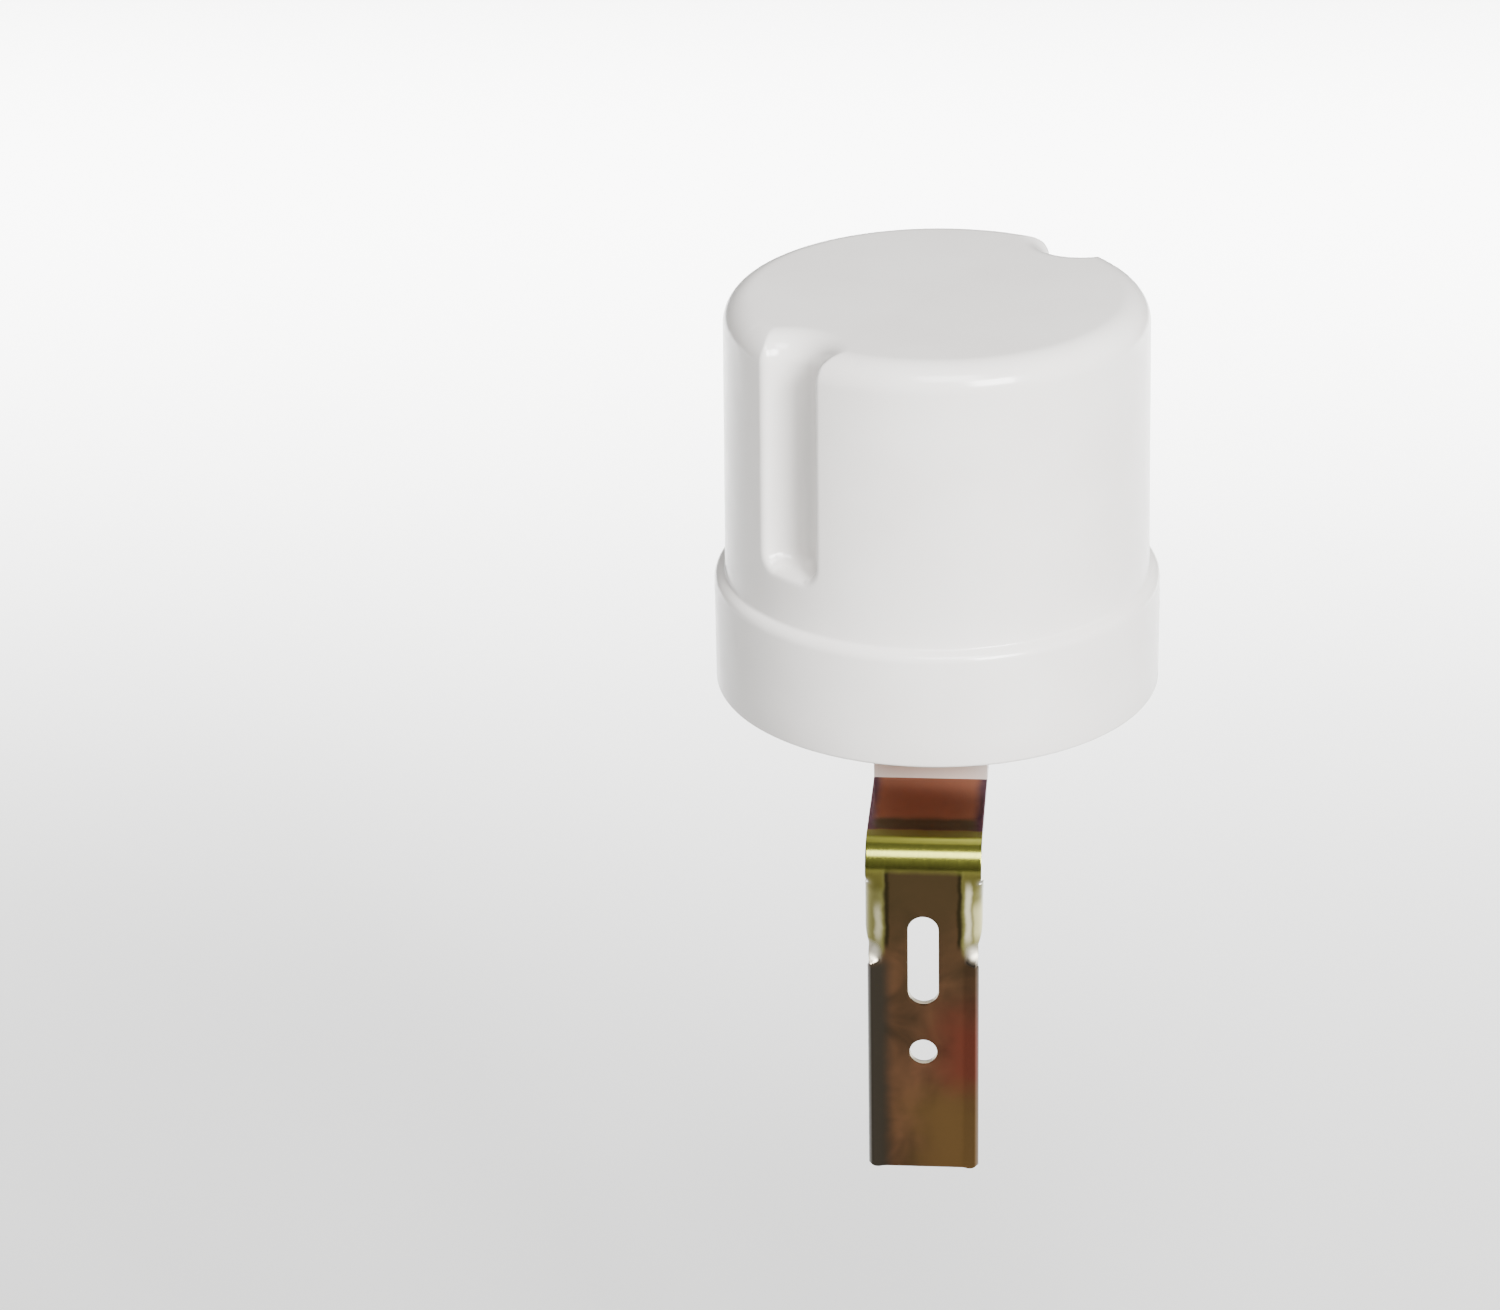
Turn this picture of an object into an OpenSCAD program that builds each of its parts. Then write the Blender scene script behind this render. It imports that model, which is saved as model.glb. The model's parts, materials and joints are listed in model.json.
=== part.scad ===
// Photocell switch: a white cap on a moulded base, held off its support by a folded steel bracket.
// Millimetres, +Z up. The origin is the centre of the bracket's fixing hole, on the face that meets the support.
// The support is on the -Y side, and the cap's axis stands behind it, on the +Y side.

/* [Cap] */
// Outside diameter of the skirt
skirt_d = 74; // [71:0.5:80]
// Height of the skirt, from its open edge to the shoulder
skirt_h = 20; // [18:0.1:22]
// Width of the rounded shoulder between skirt and body
shoulder_w = 1.8; // [1.2:0.1:2.2]
// Amount that the body's radius lessens from the shoulder to the top
body_taper = 0.5; // [0:0.1:1.2]
// Overall height of the cap
cap_h = 67.7; // [66:0.1:80]
// Rounding where the wall turns into the top
crown_r = 4.7; // [4:0.1:8]
// Wall thickness of the cap
cap_wall = 2; // [1.6:0.1:2.6]
// Radius of the half-round channels in the wall
channel_r = 5.5; // [5:0.25:7]
// Height of the channels' lower end above the skirt's edge
channel_z = 29; // [27:0.5:34]
// Rounding at the bottom of each channel
channel_foot_r = 2.5; // [1:0.25:4]
// Rounding of each channel's rim on the top
channel_lip_r = 4.5; // [1:0.1:5]
// Angle of the channels from the bracket, about the axis
channel_turn = 40.5; // [36:0.5:46]

/* [Base] */
// Thickness of the base's floor
base_floor = 2.5; // [2:0.1:3.5]
// Thickness of the base's spigot wall
spigot_wall = 2; // [1.5:0.1:2.5]
// Height of the base, from the floor's underside to the spigot's rim
base_h = 16; // [13:0.5:16.5]
// Radius of the lead outlet
outlet_r = 4.5; // [3:0.25:5]
// Height of the collar round the lead outlet, above the floor
outlet_collar_h = 2.5; // [1:0.25:3]
// Length of the pedestal that carries the bracket's arm
pedestal_l = 14.6; // [12.6:0.1:16]
// Height of the board guides above the floor
guide_h = 20; // [14:1:21]

/* [Bracket] */
// Thickness of the steel strip
sheet_t = 1.2; // [1:0.1:1.6]
// Width of the bracket's arm
strip_w = 18.6; // [17.6:0.2:20]
// Inside radius of the bend between arm and plate
bend_r = 3.2; // [2:0.1:5]
// Distance from the cap's axis to the face that meets the support
stand_off = 47.8; // [42:0.1:55]
// Distance from the cap's axis to the arm's free end
arm_start = 8; // [7:0.25:9]
// Height of the skirt's edge above the arm's top
arm_drop = 8.8; // [8:0.2:12]
// Height of the skirt's edge above the fixing hole
hole_drop = 46; // [43:1:52]
// Length of the plate below the fixing hole
plate_tail = 21.6; // [15:0.2:30]
// Width of the plate's flat middle, between its side bends
plate_flat = 12.3; // [11:0.1:13]
// Radius of the fixing hole
fixing_r = 2.25; // [1.75:0.05:2.75]
// Width of the fixing slot
slot_w = 5; // [4.2:0.1:6]
// Length of the fixing slot, end to end
slot_l = 16; // [10:0.5:18]
// Height of the slot's middle above the fixing hole
slot_up = 16.8; // [14.5:0.1:18]
// Length of the gusset ears down the plate
ear_l = 15; // [10:0.2:18]
// Depth of the ears behind the plate's face
ear_depth = 8.5; // [6:0.5:10]
// Length of the ears that has the full depth
ear_straight = 4; // [2:0.5:6]
// Inside radius of the ears' bends
ear_bend_r = 1.8; // [1.2:0.1:2.2]
// Angle of the plate's side lips towards the support
lip_turn = 35; // [20:1:50]
// Inside radius of the lips' bends
lip_bend_r = 1.5; // [1:0.1:2]
// Width of the lips beyond their bends
lip_w = 1.3; // [0.8:0.1:2]
// Relief cut between an ear and the lip below it
relief = 0.5; // [0.3:0.1:1.5]
// Rounding of the plate's lower corners
corner_r = 2; // [1:0.25:2.5]

/* [Screws] */
// Shank radius of the cap screws
cap_screw_r = 1.75; // [1.5:0.05:2]
// Length of the cap screws under the head
cap_screw_l = 16; // [10:1:18]
// Shank radius of the bracket screws
bracket_screw_r = 1.95; // [1.5:0.05:2.2]
// Length of the bracket screws under the head
bracket_screw_l = 9; // [6:0.5:9.5]
// Distance between the two bracket screws
screw_pitch = 7.4; // [7.2:0.1:8]

/* [Circuit board] */
// Width of the circuit board
board_w = 56; // [51:1:58]
// Height of the circuit board
board_h = 46; // [46:1:49]
// Thickness of the circuit board
board_t = 1.6; // [1:0.2:2]
// Distance of the board's front face behind the cap's axis
board_back = 7; // [7:0.5:9]
// Height of the board's lower edge above the base's underside
board_z = 6; // [5.5:0.25:7]

/* [Relay] */
// Length of the relay's case
relay_l = 28; // [27:0.25:28.5]
// Width of the relay's case
relay_w = 21; // [20:0.5:22]
// Height of the relay's case above the board
relay_h = 19.5; // [19:0.25:21]
// Wall of the relay's case
relay_wall = 1; // [0.6:0.1:1]
// Thickness of the relay's base
relay_floor = 2; // [1.5:0.1:2.5]
// Thickness of the yoke and the armature
iron_t = 1.2; // [1:0.1:1.4]
// Length of the bobbin between yoke and pole
bobbin_h = 10; // [8:0.25:10.5]
// Radius of the bobbin's flanges
bobbin_r = 6.3; // [5.5:0.1:6.3]
// Radius of the iron core
core_r = 2.5; // [2:0.1:2.7]
// Gap between the pole and the resting armature
air_gap = 0.7; // [0.7:0.05:1]
// Travel of the moving contact between the fixed ones
contact_gap = 1.25; // [1.25:0.05:1.5]

/* [Parts on the board] */
// Radius of the photocell's disc
cell_r = 2.55; // [2.1:0.05:3.5]
// Thickness of the photocell's disc
cell_t = 2; // [1.5:0.1:2.5]
// Height of the photocell's face above the board's upper edge
cell_up = 8; // [6:0.5:12]
// Length, width and height of the dropper capacitor
dropper = [15.5, 8, 14];
// Radius and height of the smoothing capacitor
smoother = [5, 16];
// Radius and height of the timing capacitor
timer = [3.15, 11];
// Radius and thickness of the varistor
varistor_size = [6, 4];
// Radius and length of a rectifier diode
diode = [1.35, 5.2];
// Radius and length of a resistor
resistor = [1.2, 6.3];
// Distance between the leads of an axial part
axial_pitch = 10; // [9:0.5:10]
// Radius of the parts' leads
lead_r = 0.35; // [0.25:0.05:0.4]
// Length of the leads behind the board
lead_tail = 1.5; // [1:0.25:2.5]

/* [Fits] */
// Gap between the base's spigot and the skirt
spigot_gap = 0.25; // [0.15:0.05:0.4]
// Gap of a screw or lead in its hole
hole_gap = 0.05; // [0.03:0.01:0.1]
// Gap of a screw in a clearance hole
clear_gap = 0.3; // [0.2:0.05:0.4]
// Gap of the board in its guides
board_gap = 0.1; // [0.05:0.05:0.2]
// Gap between neighbours that lie beside each other
side_gap = 0.3; // [0.2:0.05:0.5]

/* [Hidden] */
$fn = 64;
over = 1;

skirt_r = skirt_d / 2;
body_r = skirt_r - shoulder_w;
body_top_r = body_r - body_taper;
channel_at = body_r - body_taper / 2;
bore_r = skirt_r - cap_wall;
hollow_r = body_r - cap_wall;
hollow_top_r = body_top_r - cap_wall;
crown_in = crown_r - cap_wall;
seat_z = skirt_h - cap_wall - shoulder_w / 2;
lip_rise = 0.1;
lip_z = cap_h - channel_lip_r + lip_rise;
rib_t = 1.6;
rib_span = 24;
rib_lap = 4;

spigot_r = bore_r - spigot_gap;
base_top = min(base_h, seat_z);
post_r = 5;
boss_r = 4;
boss_at = spigot_r - spigot_wall - boss_r - 2 * side_gap;
head_h = 2.4;
head_r = 3.4;
head_drop = 2;
post_floor = 4;
post_top = head_drop + head_h + post_floor;
boss_depth = cap_screw_l - post_floor + over;
collar_wall = 2;
guide_wall = 2;

// Places along the bracket: out is forward from the axis
bend_out = bend_r + sheet_t;
bend_steps = 12;
plate_lap = 1;
arm_l = stand_off - bend_out - arm_start;
plate_top = hole_drop - arm_drop - bend_out;
plate_l = plate_top + plate_tail;
ear_top = plate_top - relief;
lip_l = plate_l - ear_l - 2 * relief;
screw_depth = bracket_screw_l - sheet_t + side_gap;
screw_spots = [for (s = [-1, 1]) arm_start + pedestal_l / 2 + s * screw_pitch / 2];

// Places on the board: right of its middle, and up from its lower edge
board_edge = 6.2;
guide_lap = 2.5;
part_gap = 2;
axial_step = 4;
clear_w = board_w - 2 * guide_lap - 2 * side_gap;
relay_at = [(relay_l - clear_w) / 2, board_edge + relay_w / 2];
axial_up = relay_at[1] + relay_w / 2 + part_gap + axial_pitch / 2;
dropper_at = [(clear_w - dropper[0]) / 2, board_edge + dropper[1] / 2];
smoother_at = [relay_at[0] + relay_l / 2 + part_gap + smoother[0], board_edge + dropper[1] + part_gap + smoother[0]];
timer_at = [board_w / 2 - timer[0] - side_gap, smoother_at[1]];
varistor_at = [-board_w / 2 + part_gap + varistor_size[0], axial_up];
diode_first = varistor_at[0] + varistor_size[0] + part_gap + diode[0];
diode_spots = [for (i = [0 : 3]) [diode_first + axial_step * i, axial_up]];
zener_at = [diode_spots[3][0] + axial_step, axial_up];
resistor_spots = [for (i = [1 : 3]) [zener_at[0] + axial_step * i, axial_up]];
transistor_at = [timer_at[0], axial_up - axial_pitch / 2 - part_gap];
cell_pitch = 2.54;
cell_edge = 1;
cell_at = [0, board_h - cell_edge];
cell_reach = 5;
cell_turn_r = 1.5;
sleeve_t = 0.3;

// Heights above the board inside the relay
pivot_x = -relay_l / 2 + relay_wall + 1.6;
yoke_out = pivot_x - iron_t / 2;
coil_x = pivot_x + iron_t / 2 + 0.5 + bobbin_r;
bobbin_z = relay_floor + iron_t;
pole_t = 0.5;
bobbin_wall = 0.9;
pole_r = core_r + 1;
pole_top = bobbin_z + bobbin_h + pole_t;
armature_z = pole_top + air_gap;
pivot_gap = 0.1;
blade_t = 0.3;
blade_z = armature_z + iron_t;
contact_reach = 12;
contact_x = coil_x + contact_reach;
blade_w = 4.4;
blade_lap = 1;
contact_r = 1.5;
contact_h = 0.6;
contact_rest = 0.05;
tab_t = 0.6;
upright_x = relay_l / 2 - relay_wall - 1 - tab_t;
pin_r = 0.6;
coil_pin_back = 4;
pin_inset = 1.6;
coil_pins_at = [for (s = [-1, 1]) [coil_x - coil_pin_back, s * (relay_w / 2 - relay_wall - pin_inset)]];
closed_pin = [upright_x + tab_t / 2, 5.5];
open_pin = [upright_x + tab_t / 2, -5];
yoke_pin = [pivot_x, 0];
relay_pins = concat(coil_pins_at, [closed_pin, open_pin, yoke_pin]);

// Every lead that goes through the board: across, up, radius
function pair(at, pitch, r) = [for (s = [-1, 1]) [at[0] + s * pitch / 2, at[1], r]];
function axial(at) = [for (s = [-1, 1]) [at[0], at[1] + s * axial_pitch / 2, lead_r]];
function flat_list(lists) = [for (l = lists) for (p = l) p];
transistor_pitch = 1.6;
transistor_r = 2.4;
transistor_up = 3;
zener = [0.95, 4];
varistor_pitch = 7.5;
dropper_inset = 1.5;
dropper_pitch = dropper[0] - 2 * dropper_inset;
board_leads = concat(
    [for (p = relay_pins) [relay_at[0] + p[0], relay_at[1] + p[1], pin_r]],
    pair(dropper_at, dropper_pitch, lead_r),
    pair(smoother_at, smoother[0], lead_r),
    pair(timer_at, timer[0], lead_r),
    pair(varistor_at, varistor_pitch, lead_r),
    pair(cell_at, cell_pitch, lead_r),
    flat_list([for (at = concat(diode_spots, [zener_at], resistor_spots)) axial(at)]),
    [for (i = [-1 : 1]) [transistor_at[0] + i * transistor_pitch, transistor_at[1], lead_r]]
);

// The housing's own frame: on the cap's axis, at the skirt's edge
module in_housing() {
    translate([0, stand_off, hole_drop]) children();
}

// Each of the two channels' directions, along +X
module at_channels() {
    for (turn = [0, 180]) rotate(turn - 90 - channel_turn) children();
}

// The board's own frame: across, up its face, and out of its front face
module on_board() {
    in_housing() translate([0, board_back, board_z]) rotate([90, 0, 0]) children();
}

module in_relay() {
    on_board() translate([relay_at[0], relay_at[1], 0]) children();
}

// A box with its four upright edges rounded
module soft_box(size, r) {
    linear_extrude(size[2]) {
        square([size[0] - 2 * r, size[1]], center = true);
        square([size[0], size[1] - 2 * r], center = true);
        for (x = [-1, 1], y = [-1, 1]) translate([x * (size[0] / 2 - r), y * (size[1] / 2 - r)]) circle(r);
    }
}

// Half the section of the body below its crown
module tapered_wall(low_r, top_r) {
    shoulder_z = skirt_h - shoulder_w;
    crown_z = cap_h - crown_r;
    polygon([[0, 0], [low_r, 0], [low_r, shoulder_z], [top_r, crown_z], [0, crown_z]]);
}

// The cap's outside, as a turned form
module cap_outside() {
    rotate_extrude() {
        square([skirt_r, skirt_h - shoulder_w]);
        tapered_wall(body_r, body_top_r);
        translate([body_r, skirt_h - shoulder_w]) intersection() {
            circle(shoulder_w);
            translate([-shoulder_w, 0]) square([2 * shoulder_w, shoulder_w]);
        }
        square([body_top_r - crown_r, cap_h]);
        translate([body_top_r - crown_r, cap_h - crown_r]) circle(crown_r);
    }
}

module cap_hollow() {
    rotate_extrude() {
        translate([0, -over]) square([bore_r, seat_z + over]);
        tapered_wall(hollow_r, hollow_top_r);
        square([hollow_top_r - crown_in, cap_h - cap_wall]);
        translate([hollow_top_r - crown_in, cap_h - crown_r]) circle(crown_in);
    }
}

// A round-bottomed channel whose rim opens out in a curve on the top
module channel_cut() {
    rotate_extrude() {
        translate([0, channel_z + channel_foot_r]) square([channel_r, cap_h - channel_z]);
        translate([0, channel_z]) square([channel_r - channel_foot_r, channel_foot_r + over]);
        translate([channel_r - channel_foot_r, channel_z + channel_foot_r]) circle(channel_foot_r);
        difference() {
            translate([0, lip_z]) square([channel_r + channel_lip_r, channel_lip_r + over]);
            translate([channel_r + channel_lip_r, lip_z]) circle(channel_lip_r);
        }
    }
}

// The wall behind a channel, with the screw boss under its lower end
module channel_wall() {
    translate([channel_at, 0, channel_z - cap_wall]) cylinder(r = channel_r + cap_wall, h = cap_h);
    translate([boss_at, 0, post_top]) cylinder(r = boss_r, h = channel_z - post_top);
    translate([boss_at, -cap_wall / 2, seat_z]) cube([channel_at - boss_at - cap_wall / 2, cap_wall, channel_z - seat_z]);
}

module board_stops() {
    stop_z = board_z + board_h + side_gap;
    for (s = [-1, 1]) translate([s * rib_span / 2 - rib_t / 2, board_back - rib_lap, stop_z])
        cube([rib_t, board_t + 2 * rib_lap, cap_h - cap_wall / 2 - stop_z]);
}

module cap() {
    color("whitesmoke") in_housing() difference() {
        union() {
            difference() {
                cap_outside();
                cap_hollow();
            }
            intersection() {
                cap_outside();
                at_channels() channel_wall();
            }
            board_stops();
        }
        at_channels() {
            translate([channel_at, 0, 0]) channel_cut();
            translate([boss_at, 0, post_top - over]) cylinder(r = cap_screw_r + hole_gap, h = boss_depth + over);
        }
    }
}

// One slotted guide for an edge of the board
module board_guide() {
    translate([board_w / 2 - guide_lap, board_back - guide_wall, 0])
        cube([guide_lap + guide_wall, board_t + 2 * guide_wall, base_floor + guide_h]);
}

module board_slot() {
    translate([-board_w / 2 - side_gap, board_back - board_gap, board_z])
        cube([board_w + 2 * side_gap, board_t + 2 * board_gap, guide_h + base_floor]);
}

module base_shell() {
    rotate_extrude() {
        square([spigot_r, base_floor]);
        translate([spigot_r - spigot_wall, 0]) square([spigot_wall, base_top]);
    }
    cylinder(r = outlet_r + collar_wall, h = base_floor + outlet_collar_h);
    at_channels() translate([boss_at, 0, 0]) cylinder(r = post_r, h = post_top);
    for (s = [0, 1]) mirror([s, 0, 0]) board_guide();
}

// The block under the floor that the bracket's arm is screwed to
module pedestal() {
    translate([-strip_w / 2, -arm_start - pedestal_l, -arm_drop]) cube([strip_w, pedestal_l, arm_drop + base_floor / 2]);
}

module base() {
    color("white") in_housing() difference() {
        union() {
            intersection() {
                base_shell();
                cylinder(r = spigot_r, h = base_floor + guide_h);
            }
            pedestal();
        }
        translate([0, 0, -over]) cylinder(r = outlet_r, h = base_floor + outlet_collar_h + 2 * over);
        at_channels() translate([boss_at, 0, 0]) {
            translate([0, 0, -over]) cylinder(r = head_r + clear_gap, h = head_drop + head_h + over);
            cylinder(r = cap_screw_r + clear_gap, h = post_top + over);
        }
        for (out = screw_spots) translate([0, -out, -arm_drop - over])
            cylinder(r = bracket_screw_r + hole_gap, h = screw_depth + over);
        board_slot();
    }
}

// The line at distance d from a folded sheet's face. Each step is a straight length, then a turn and its inside
// radius. A positive turn is towards the face. The last step's turn is 0.
function fold(steps, d, at = [0, 0], dir = 0, i = 0) =
    let (
        length = steps[i][0],
        turn = steps[i][1],
        side = turn > 0 ? 1 : -1,
        away = turn > 0 ? steps[i][2] : steps[i][2] + sheet_t,
        end = at + length * [cos(dir), sin(dir)],
        centre = end + side * away * normal(dir),
        start = i == 0 ? [at + d * normal(dir)] : []
    )
    turn == 0 ? concat(start, [end + d * normal(dir)]) : concat(
        start,
        [for (k = [0 : bend_steps]) centre - side * (away - side * d) * normal(dir + turn * k / bend_steps)],
        fold(steps, d, centre - side * away * normal(dir + turn), dir + turn, i + 1)
    );

function normal(dir) = [-sin(dir), cos(dir)];
function turned_back(list) = [for (i = [len(list) - 1 : -1 : 0]) list[i]];

// The cut section of a folded sheet, which starts at the origin along +X with its face up
module folded(steps) {
    polygon(concat(fold(steps, 0), turned_back(fold(steps, -sheet_t))));
}

// The arm and its bend, folded from one strip, with the first of the plate
module folded_strip() {
    in_housing() translate([strip_w / 2, -arm_start, -arm_drop]) rotate([90, 0, -90]) linear_extrude(strip_w) folded([
        [arm_l, -90, bend_r],
        [plate_lap, 0, 0]
    ]);
}

// A gusset ear, folded back from the plate's side and tapered towards its lower end
module ear() {
    bend_depth = sheet_t + ear_bend_r;
    intersection() {
        translate([plate_flat / 2 - plate_lap, 0, ear_top]) rotate([180, 0, 0]) linear_extrude(ear_l) folded([
            [plate_lap, -90, ear_bend_r],
            [ear_depth - bend_depth, 0, 0]
        ]);
        translate([0, 0, ear_top]) rotate([90, 0, 90]) linear_extrude(strip_w) polygon([
            [-over, over], [ear_depth + over, over], [ear_depth + over, -ear_straight],
            [bend_depth + relief, -ear_l - relief], [-over, -ear_l - relief]
        ]);
    }
}

// A lip rolled towards the support, with its lower corner rounded
module lip() {
    reach = plate_flat / 2 + (lip_bend_r + sheet_t) * sin(lip_turn) + lip_w * cos(lip_turn) + corner_r / 6;
    difference() {
        translate([plate_flat / 2 - plate_lap, 0, lip_l - plate_tail]) rotate([180, 0, 0]) linear_extrude(lip_l) folded([
            [plate_lap, lip_turn, lip_bend_r],
            [lip_w, 0, 0]
        ]);
        translate([reach - corner_r, 0, corner_r - plate_tail]) rotate([90, 0, 0]) difference() {
            translate([0, -corner_r - over, -strip_w / 2]) cube([corner_r + over, corner_r + over, strip_w]);
            cylinder(r = corner_r, h = 2 * strip_w, center = true);
        }
    }
}

module bracket() {
    color("darkgoldenrod") difference() {
        union() {
            folded_strip();
            translate([-plate_flat / 2, 0, -plate_tail]) cube([plate_flat, sheet_t, plate_l]);
            for (s = [0, 1]) mirror([s, 0, 0]) {
                ear();
                lip();
            }
        }
        rotate([90, 0, 0]) cylinder(r = fixing_r, h = 4 * sheet_t, center = true);
        translate([0, 0, slot_up]) rotate([90, 0, 0]) {
            for (s = [-1, 1]) translate([0, s * (slot_l - slot_w) / 2, 0])
                cylinder(d = slot_w, h = 4 * sheet_t, center = true);
            cube([slot_w, slot_l - slot_w, 4 * sheet_t], center = true);
        }
        in_housing() for (out = screw_spots) translate([0, -out, -arm_drop])
            cylinder(r = bracket_screw_r + clear_gap, h = 4 * sheet_t, center = true);
    }
}

// A pan-head tapping screw, its head below z = 0 and its shank up from there
module pan_screw(r, length) {
    tip_l = 2 * r;
    difference() {
        union() {
            rotate_extrude() intersection() {
                translate([0, -head_h]) square([head_r, head_h]);
                union() {
                    translate([0, -head_h]) square([head_r - head_h / 2, head_h]);
                    translate([0, -head_h / 2]) square([head_r, head_h / 2]);
                    translate([head_r - head_h / 2, -head_h / 2]) circle(head_h / 2);
                }
            }
            cylinder(r = r, h = length - tip_l);
            translate([0, 0, length - tip_l]) cylinder(r1 = r, r2 = r / 4, h = tip_l);
        }
        for (turn = [0, 90]) rotate(turn) translate([0, 0, -head_h]) cube([head_r, head_r / 4, head_h], center = true);
    }
}

module cap_screws() {
    color("silver") in_housing() at_channels() translate([boss_at, 0, head_drop + head_h])
        pan_screw(cap_screw_r, cap_screw_l);
}

module bracket_screws() {
    color("silver") in_housing() for (out = screw_spots) translate([0, -out, -arm_drop - sheet_t])
        pan_screw(bracket_screw_r, bracket_screw_l);
}

module circuit_board() {
    color("burlywood") on_board() difference() {
        translate([-board_w / 2, 0, -board_t]) cube([board_w, board_h, board_t]);
        for (p = board_leads) translate([p[0], p[1], -board_t / 2])
            cylinder(r = p[2] + hole_gap, h = 2 * board_t, center = true);
    }
}

// A straight lead through the board, from the given height
module lead(at, top) {
    translate([at[0], at[1], -board_t - lead_tail]) cylinder(r = lead_r, h = top + board_t + lead_tail);
}

// The photocell looks straight up at the cap's top
module photocell() {
    cell_top = board_h + cell_up;
    color("wheat") on_board() translate([cell_at[0], cell_top, cell_reach]) rotate([90, 0, 0]) difference() {
        cylinder(r = cell_r, h = cell_t);
        for (i = [-1 : 1]) translate([i * cell_r / 2, 0, 0]) cube([cell_r / 6, cell_r, cell_t / 4], center = true);
    }
}

module photocell_leads() {
    rise = board_h + cell_up - cell_t - cell_at[1] - cell_turn_r;
    color("silver") on_board() for (p = pair(cell_at, cell_pitch, lead_r)) {
        lead(p, cell_reach - cell_turn_r);
        translate([p[0], p[1] + cell_turn_r, cell_reach - cell_turn_r]) rotate([90, 0, -90])
            rotate_extrude(angle = 90) translate([cell_turn_r, 0]) circle(lead_r);
        translate([p[0], p[1] + cell_turn_r, cell_reach]) rotate([-90, 0, 0]) cylinder(r = lead_r, h = rise);
    }
}

module photocell_sleeves() {
    rise = board_h + cell_up - cell_t - cell_at[1] - cell_turn_r;
    color("dimgray") on_board() for (p = pair(cell_at, cell_pitch, lead_r))
        translate([p[0], p[1] + cell_turn_r, cell_reach]) rotate([-90, 0, 0]) difference() {
            translate([0, 0, side_gap]) cylinder(r = lead_r + hole_gap + sleeve_t, h = rise - 2 * side_gap);
            cylinder(r = lead_r + hole_gap, h = rise);
        }
}

module relay_case() {
    color("lightskyblue") in_relay() difference() {
        soft_box([relay_l, relay_w, relay_h], relay_wall);
        translate([0, 0, (relay_h - relay_wall) / 2 - over]) cube(
            [relay_l - 2 * relay_wall, relay_w - 2 * relay_wall, relay_h - relay_wall + 2 * over], center = true);
    }
}

module relay_base() {
    inset = 2 * (relay_wall + board_gap);
    color("black") in_relay() difference() {
        translate([0, 0, relay_floor / 2]) cube([relay_l - inset, relay_w - inset, relay_floor], center = true);
        for (p = relay_pins) translate([p[0], p[1], -over]) cylinder(r = pin_r + hole_gap, h = relay_floor + 2 * over);
        translate([coil_x, 0, relay_floor - pole_t]) cylinder(r = core_r, h = over);
    }
}

// A pin that goes down through the relay's base and the board
module relay_pin(at, top) {
    translate([at[0], at[1], -board_t - lead_tail]) cylinder(r = pin_r, h = top + board_t + lead_tail);
}

module relay_yoke() {
    yoke_w = 2 * bobbin_r - 1;
    color("silver") in_relay() difference() {
        union() {
            translate([yoke_out, -yoke_w / 2, relay_floor]) {
                cube([coil_x - yoke_out + bobbin_r, yoke_w, iron_t]);
                cube([iron_t, yoke_w, armature_z - pivot_gap - relay_floor]);
            }
            relay_pin(yoke_pin, relay_floor + iron_t);
        }
        translate([coil_x, 0, relay_floor - over]) cylinder(r = core_r / 2 + hole_gap, h = iron_t + 2 * over);
    }
}

module relay_core() {
    color("gainsboro") in_relay() translate([coil_x, 0, 0]) {
        translate([0, 0, relay_floor]) cylinder(r = core_r / 2, h = iron_t + over);
        translate([0, 0, bobbin_z]) cylinder(r = core_r, h = bobbin_h + pole_t);
        translate([0, 0, pole_top - pole_t]) cylinder(r = pole_r, h = pole_t);
    }
}

module relay_bobbin() {
    color("ivory") in_relay() translate([coil_x, 0, bobbin_z]) rotate_extrude() {
        tube_in = core_r + hole_gap;
        translate([tube_in, 0]) square([bobbin_wall, bobbin_h]);
        for (z = [0, bobbin_h - bobbin_wall]) translate([tube_in, z]) square([bobbin_r - tube_in, bobbin_wall]);
    }
}

module relay_winding() {
    wire_in = core_r + bobbin_wall + 2 * hole_gap;
    color("sienna") in_relay() translate([coil_x, 0, bobbin_z + bobbin_wall + hole_gap]) difference() {
        cylinder(r = bobbin_r - side_gap, h = bobbin_h - 2 * bobbin_wall - 2 * hole_gap);
        translate([0, 0, -over]) cylinder(r = wire_in, h = bobbin_h);
    }
}

module relay_coil_pins() {
    color("silver") in_relay() for (p = coil_pins_at) relay_pin(p, relay_floor + over);
}

// The armature rocks on the yoke's upper edge and carries the contact blade
module relay_armature() {
    arm_w = 2 * (bobbin_r - contact_h) - 2 * side_gap;
    color("lightsteelblue") in_relay() translate([yoke_out - side_gap, -arm_w / 2, armature_z])
        cube([coil_x - yoke_out + pole_r + 2 * side_gap, arm_w, iron_t]);
}

module relay_contact_blade() {
    color("goldenrod") in_relay() {
        translate([coil_x - blade_lap, -blade_w / 2, blade_z])
            cube([contact_reach + contact_r + blade_lap + blade_t, blade_w, blade_t]);
        translate([contact_x, 0, blade_z - contact_h]) cylinder(r = contact_r, h = 2 * contact_h + blade_t);
    }
}

// A fixed contact on a tab, with its upright strip and pin
module fixed_contact(pin, tab_z, face_up) {
    side = pin[1] > 0 ? 1 : -1;
    strip = 3;
    relay_pin(pin, relay_floor + over);
    translate([upright_x, pin[1] - strip / 2, relay_floor]) cube([tab_t, strip, tab_z + tab_t - relay_floor]);
    translate([contact_x - contact_r, side > 0 ? -contact_r : pin[1] - strip / 2, tab_z])
        cube([upright_x + tab_t - contact_x + contact_r, abs(pin[1]) + strip / 2 + contact_r, tab_t]);
    translate([contact_x, 0, tab_z + (face_up ? 0 : -contact_h)]) cylinder(r = contact_r, h = contact_h + tab_t);
}

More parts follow.
